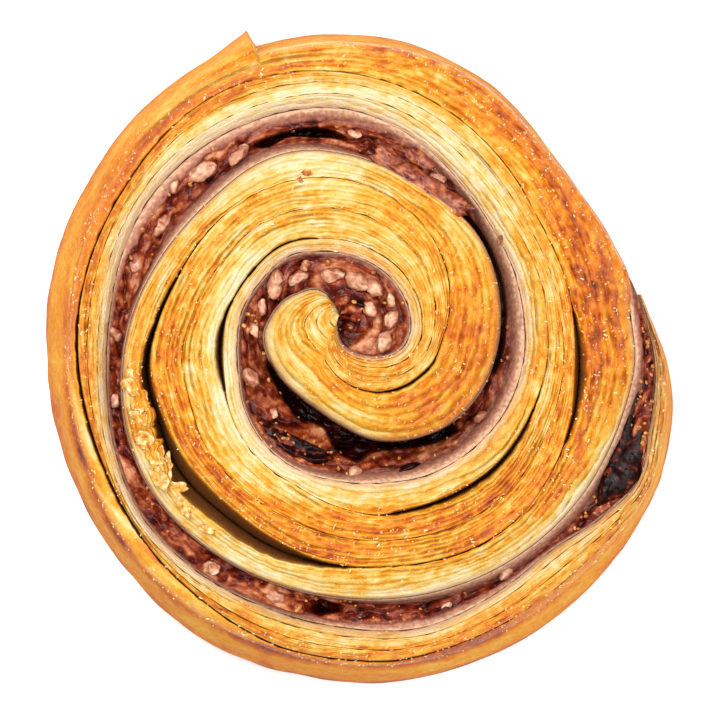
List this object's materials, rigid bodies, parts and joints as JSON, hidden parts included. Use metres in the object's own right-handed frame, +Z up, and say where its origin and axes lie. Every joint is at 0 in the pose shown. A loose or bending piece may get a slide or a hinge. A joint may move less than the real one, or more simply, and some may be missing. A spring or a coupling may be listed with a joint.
{
  "type": "danish pastry",
  "caption": "Round coiled danish pastry: an arm of laminated dough wound outwards with a ribbon of fruit and nut filling rolled in, dark fig pieces on top and a flat base",
  "frame": {"origin": "centre of the bounding box of the flat base, on the surface that it lies on", "axes": "+Z up out of the coiled face, which is the shortest extent; +Y along the longest extent, towards the loose end of the outermost skin; +X completes the right-handed frame. Seen from above, the coil runs counter-clockwise as it goes outwards"},
  "size_m": [0.1106, 0.1144, 0.0315],
  "materials": {
    "baked_dough": "matte",
    "fruit_filling": "glossy",
    "fig_skin": "satin"
  },
  "bodies": {
    "root": {"dough": "baked_dough", "filling": "fruit_filling", "fig_piece_inner_long": "fig_skin", "fig_piece_inner_short": "fig_skin", "fig_piece_outer": "fig_skin"}
  },
  "joints": []
}
